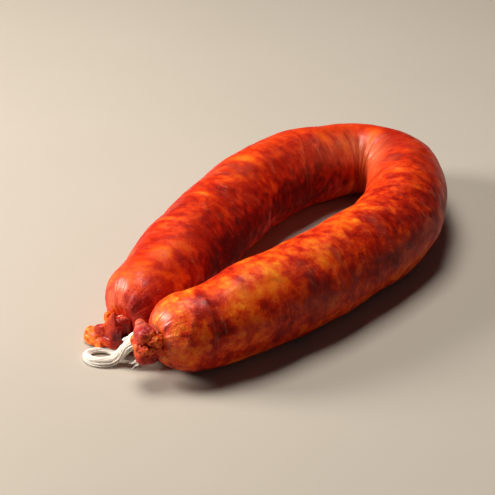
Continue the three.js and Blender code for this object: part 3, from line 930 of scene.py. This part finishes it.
def makeTail(name, tail):
    lobes, middles, looks = tailLobes(tail)
    mesh = joinLobes(name + "Lobes", lobes)
    place = np.empty(len(mesh.vertices) * 3)
    normal = np.empty(len(mesh.vertices) * 3)
    mesh.vertices.foreach_get("co", place)
    mesh.vertex_normals.foreach_get("vector", normal)
    place = place.reshape(-1, 3) / mm
    normal = normal.reshape(-1, 3)
    faces = [list(polygon.vertices) for polygon in mesh.polygons]
    bpy.data.meshes.remove(mesh)

    away = np.stack([np.linalg.norm(place - middle, axis=1) for middle in middles])
    nearest = np.exp(-away / tails["tintReach"])
    tint, flesh, ragged = np.array(looks).T @ (nearest / nearest.sum(0))
    bulge, swell = tailNoise("bulge", place)
    ridge, crest = tailNoise("ridge", place)
    grit, grains = tailNoise("grit", place)
    steep, level = tails["bulgeShape"]
    crumple = bulge * (steep * np.abs(swell) - level) + grit * grains
    crumple += ridge * (1 - tails["ridgeShape"] * np.abs(crest)) * ragged
    place = place + normal * crumple[:, None]
    place[:, 2] = np.maximum(place[:, 2], tails["lowest"])
    # painted shade in the folds and painted light on the ridges, from how far each point was pushed
    fold = np.clip(0.5 + tails["shade"] * crumple, 0, 1)
    numbers = {"fold": fold, "tint": tint, "flesh": flesh}
    piece = makePiece(name, place, faces, tailMaterial, numbers, {"straight": place})
    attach(piece, "root")
    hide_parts("sausage")


makeTail("nearTail", tails["near"])
makeTail("farTail", tails["far"])
print("tails made")


# Cotton twine

twine = {
    "diameter": 2.4,
    "sides": 7,
    "step": 0.3,
    "routePoints": 24,  # on the curve between two given points
    "plyPitch": 2.4,
    "plyDepth": 0.14,
    "plyTurn": 1.3,  # from one thread to the next, so that no two look alike
    "grainShift": 37,
    "threadTurn": 2.4,  # from one thread of a strand to the next
    "drift": (3.1, 7.7, 50.0),  # how threads wander: along, from thread to thread, and up against sideways
    "floorGap": 1.1,  # how many of its radii a thread's middle stays above the floor
    "stain": (0.9, 3.2, 7.5),  # how strong, and from what distance of a tie to what distance it fades
    # half sizes of a strand are given at even shares of its length, and its lay is how far round it winds
    "loop": {
        "route": [
            (-0.5, -96.6, 14.8), (-3.4, -96.7, 13.6), (-6.4, -96.8, 11.6), (-9, -97, 8.8),
            (-11.2, -97.4, 5.6), (-13.6, -97.8, 2.8), (-16.8, -97.8, 1.5), (-20.5, -98.2, 1.4),
            (-23.6, -100, 1.4), (-25.2, -102.8, 1.4), (-24.5, -105.7, 1.5), (-21.6, -107.4, 1.6),
            (-18, -107.2, 1.6), (-14.9, -105.6, 1.7), (-12.6, -103.2, 2.2), (-10.8, -101, 4.2),
            (-8.8, -99.7, 7.2), (-6.2, -99.2, 9.8), (-3.6, -98.8, 11.4),
        ],
        "halfWidths": (1.8, 1.8, 1.3, 1.0, 1.2, 2.1, 2.65, 2.5, 1.8),
        "halfHeights": (2.2, 2.2, 1.5, 0.9, 1.0, 1.6, 2.1, 2.2, 2.0),
        "threads": 21,
        "threadRadius": 0.25,
        "lay": 70,
        "loose": 0.18,
        "seed": 5,
    },
    "fibres": {"threads": 9, "threadRadius": 0.07, "lay": 200, "loose": 0.24, "seed": 9},
    "coreShare": 0.72,  # of the loop's smaller half size
    "link": {  # from under the far tie, behind the loop, to the near tie
        "route": [
            (-16.9, -92.2, 8.2), (-14.8, -94.4, 7.9), (-12.4, -97, 8.8), (-9.4, -97.1, 10.9),
            (-5.8, -96.6, 13.5), (-2.8, -96.4, 15.6),
        ],
        "halfWidths": (0.5, 0.4, 0.5),
        "halfHeights": (0.5, 0.4, 0.5),
        "threads": 3,
        "threadRadius": 0.3,
        "lay": 120,
        "loose": 0.2,
        "seed": 3,
    },
    "cutEnd": {
        "route": [(1.2, -97, 9.6), (-1, -98, 6), (-3, -99.4, 2.8), (-5.2, -100.8, 1.3)],
        "halfWidths": (0.8, 0.9, 1.6, 2.6),
        "halfHeights": (0.8, 0.9, 1.5, 1.8),
        "threads": 7,
        "threadRadius": 0.36,
        "lay": 40,
        "loose": 0.4,
        "seed": 4,
    },
    "fray": (0.75, 0.72),  # how much thinner a cut thread ends, and from what share of its length
    "wrapRadius": 3.1,
    "wrapWidth": 1.9,
    "wrapSetback": 2.3,
    "wrapThread": 0.25,
    "wrapTurns": 4,
    "wrapPoints": 60,  # in one turn
    "wrapWobble": (0.10, 5),  # how far, and how many radians of the thread for each unit of noise
}


def smoothRoute(points, step):
    # an even run of points on a curve through the given ones
    points = np.array(points, float)
    ends = np.concatenate([[2 * points[0] - points[1]], points, [2 * points[-1] - points[-2]]])
    fine = []
    for before, start, end, after in zip(ends, ends[1:], ends[2:], ends[3:]):
        t = np.linspace(0, 1, twine["routePoints"], endpoint=False)[:, None]
        fine.append(0.5 * (
            2 * start + (end - before) * t + (2 * before - 5 * start + 4 * end - after) * t**2
            + (3 * start - before - 3 * end + after) * t**3
        ))
    fine = np.concatenate([*fine, points[-1:]])
    length = runLength(fine)
    even = np.linspace(0, length[-1], max(8, round(length[-1] / step)) + 1)
    return np.stack([np.interp(even, length, fine[:, k]) for k in range(3)], axis=1), even


def sweep(path, along, radius, start):
    # a two-ply thread along a path, as rings of points
    tangent = unit(np.gradient(path, axis=0))
    normal = np.empty_like(path)
    guide = np.cross(tangent[0], (0.31, 0.2, 0.93))  # any direction that no thread starts in
    for i, direction in enumerate(tangent):
        guide = guide - direction * guide.dot(direction)
        guide = guide / np.linalg.norm(guide)
        normal[i] = guide
    binormal = np.cross(tangent, normal)
    turn = turnsRound(twine["sides"])
    ply = np.cos(2 * (turn - 2 * math.pi * along[:, None] / twine["plyPitch"]) + start)
    reach = np.reshape(radius, (-1, 1)) * (1 + twine["plyDepth"] * ply)
    ring = np.cos(turn)[:, None] * normal[:, None] + np.sin(turn)[:, None] * binormal[:, None]
    return (path[:, None] + ring * reach[..., None]).reshape(-1, 3)


def casingStain(path):
    # yellowed near the ties, white away from them
    away = np.minimum(*(np.linalg.norm(path - middle, axis=1) for middle, heading in (nearTie, farTie)))
    strength, start, end = twine["stain"]
    return strength * (1 - ease(away, start, end))


def threadPiece(name, threads):
    # one piece from threads, each with its path, the distance along it, and one radius or many
    sides = twine["sides"]
    points, faces, stains, straight = [], [], [], []
    first = 0
    for order, (path, along, radius) in enumerate(threads):
        points.append(sweep(path, along, radius, order * twine["plyTurn"]))
        faces += [face[::-1] for face in ringFaces(len(path), sides, first)]
        first += len(path) * sides
        stains.append(np.repeat(casingStain(path), sides))
        far = np.repeat(along, sides) + order * twine["grainShift"]
        straight.append(unrolled(far, 1, np.tile(turnsRound(sides), len(path))))
    numbers = {"stain": np.concatenate(stains)}
    vectors = {"straight": np.concatenate(straight)}
    piece = makePiece(name, np.concatenate(points), faces, cottonMaterial, numbers, vectors)
    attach(piece, "root")
    return piece


def bundle(strand):
    # threads side by side along a strand's route
    middle, along = smoothRoute(strand["route"], twine["step"])
    share = along / along[-1]
    tangent = unit(np.gradient(middle, axis=0))
    side = unit(np.cross(tangent, (0, 0, 1.0)) + 1e-6)
    rise = np.cross(side, tangent)
    knots = np.linspace(0, 1, len(strand["halfWidths"]))
    width = np.interp(share, knots, strand["halfWidths"])
    height = np.interp(share, knots, strand["halfHeights"])
    often, apart, upwards = twine["drift"]
    threads = []
    for k in range(strand["threads"]):
        reach = math.sqrt((k + 0.3) / strand["threads"])
        turn = twine["threadTurn"] * k + np.radians(strand["lay"]) * (share - 0.5)
        drift = np.stack(np.broadcast_arrays(share * often, k * apart, strand["seed"]), axis=1)
        u = reach * np.cos(turn) + strand["loose"] * perlin(drift)
        v = reach * np.sin(turn) + strand["loose"] * perlin(drift, upwards)
        path = middle + side * (u * width)[:, None] + rise * (v * height)[:, None]
        path[:, 2] = np.maximum(path[:, 2], strand["threadRadius"] * twine["floorGap"])
        threads.append((path, along, strand["threadRadius"]))
    return threads


def loopCore(strand):
    # a thick thread in the middle of the strand, so that no light comes through it
    path, along = smoothRoute(strand["route"], twine["step"])
    halfSizes = np.minimum(strand["halfWidths"], strand["halfHeights"])
    knots = np.linspace(0, along[-1], len(halfSizes))
    radius = twine["coreShare"] * np.interp(along, knots, halfSizes)
    path[:, 2] = np.maximum(path[:, 2], radius * twine["floorGap"])
    return path, along, radius


def frayed(threads):
    # thins each thread towards its loose end
    thinner, start = twine["fray"]
    return [
        (path, along, radius * (1 - thinner * ease(along / along[-1], start, 1.0)))
        for path, along, radius in threads
    ]


def tieAt(station, height):
    # the middle of a tie and the heading of the spine there
    x, y, heading = spineAt(station)
    return np.array([float(x), float(y), height]), float(heading)


def wrapThreads(tie, seed):
    # turns of thread wound round a neck, a second layer crossing back over the first
    middle, heading = tie
    axis = np.array([math.cos(heading), math.sin(heading), 0])
    side = np.array([math.sin(heading), -math.cos(heading), 0])
    up = np.array([0, 0, 1.0])
    inner = (twine["wrapRadius"] - twine["wrapThread"], twine["wrapTurns"], 1)
    outer = (twine["wrapRadius"] + twine["wrapThread"], twine["wrapTurns"] - 1, -1)
    wobble, pitch = twine["wrapWobble"]
    threads = []
    for radius, turns, slope in (inner, outer):
        turn = np.linspace(0, 2 * math.pi * turns, twine["wrapPoints"] * turns)
        along = slope * twine["wrapWidth"] * (turn / turn[-1] - 0.5)
        spot = np.stack([np.cos(turn), np.sin(turn), turn / pitch + seed], axis=1)
        reach = radius + wobble * perlin(spot)
        path = middle + axis * along[:, None]
        path = path + side * (reach * np.cos(turn))[:, None] + up * (reach * np.sin(turn))[:, None]
        threads.append((path, runLength(path), twine["wrapThread"]))
    return threads


nearTie = tieAt(twine["wrapSetback"], sausage["nearNeckHeight"])
farTie = tieAt(spineLength - twine["wrapSetback"], sausage["farNeckHeight"])

nearWrap = threadPiece("nearWrap", wrapThreads(nearTie, 1))
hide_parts("near_tie")

farWrap = threadPiece("farWrap", wrapThreads(farTie, 2))
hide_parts("far_tie")

link = threadPiece("twineLink", bundle(twine["link"]))
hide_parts("twine_link")

cutEnd = threadPiece("twineCutEnd", frayed(bundle(twine["cutEnd"])))
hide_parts("twine_cut_end")

fibres = bundle({**twine["loop"], **twine["fibres"]})
loop = threadPiece("twineLoop", bundle(twine["loop"]) + fibres + [loopCore(twine["loop"])])
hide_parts("twine_loop")

loopPath, loopAlong = smoothRoute(twine["loop"]["route"], 1.0)
print("twine made, loop", round(float(loopAlong[-1]), 1), "mm long")


# Floor and light

studio = {
    "floorSize": 6000,
    "floorTop": -0.05,
    "floorColours": ((0.44, 0.395, 0.335, 1), (0.47, 0.425, 0.365, 1)),
    "floorHaze": (Finish.grain, (0, 0, 0), (9.0, 9.0, 9.0), 4, 0.6),
    "target": (0, 0, 15),
    "lamps": [  # name, place, size, power in watts, colour
        ("window", (-700, -420, 380), 300, 10.8, (1.0, 0.94, 0.86)),
        ("overhead", (-220, 20, 860), 420, 7.8, (1.0, 0.95, 0.89)),
        ("fill", (500, -600, 400), 500, 0.15, (0.95, 0.97, 1.0)),
    ],
    "world": (0.80, 0.82, 0.86, 1),
    "worldStrength": 0.02,
}


def floorFinish():
    look = Finish("floor", {"Roughness": 0.9, "Specular IOR Level": 0.2})
    haze = look.layer(studio["floorHaze"], look.node("ShaderNodeTexCoord", {}, {}, "Object"))
    look.connect("Base Color", look.paint(*studio["floorColours"], haze))
    return look.material


def makeStudio():
    half = studio["floorSize"] / 2
    corners = [(half * x, half * y, studio["floorTop"]) for x, y in ((-1, -1), (1, -1), (1, 1), (-1, 1))]
    floor = makePiece("floor", corners, [(0, 1, 2, 3)], floorFinish())
    for name, place, size, power, colour in studio["lamps"]:
        light = bpy.data.lights.new(name, "AREA")
        light.size = size * mm
        light.energy = power
        light.color = colour
        lamp = bpy.data.objects.new(name, light)
        lamp.location = Vector(place) * mm
        lamp.rotation_euler = (Vector(studio["target"]) - Vector(place)).to_track_quat("-Z", "Y").to_euler()
        bpy.context.scene.collection.objects.link(lamp)
    world = bpy.data.worlds.new("studio")
    world.use_nodes = True
    background = world.node_tree.nodes["Background"]
    background.inputs["Color"].default_value = studio["world"]
    background.inputs["Strength"].default_value = studio["worldStrength"]
    bpy.context.scene.world = world
    bpy.context.scene.view_settings.view_transform = "Standard"


makeStudio()
print("studio made")
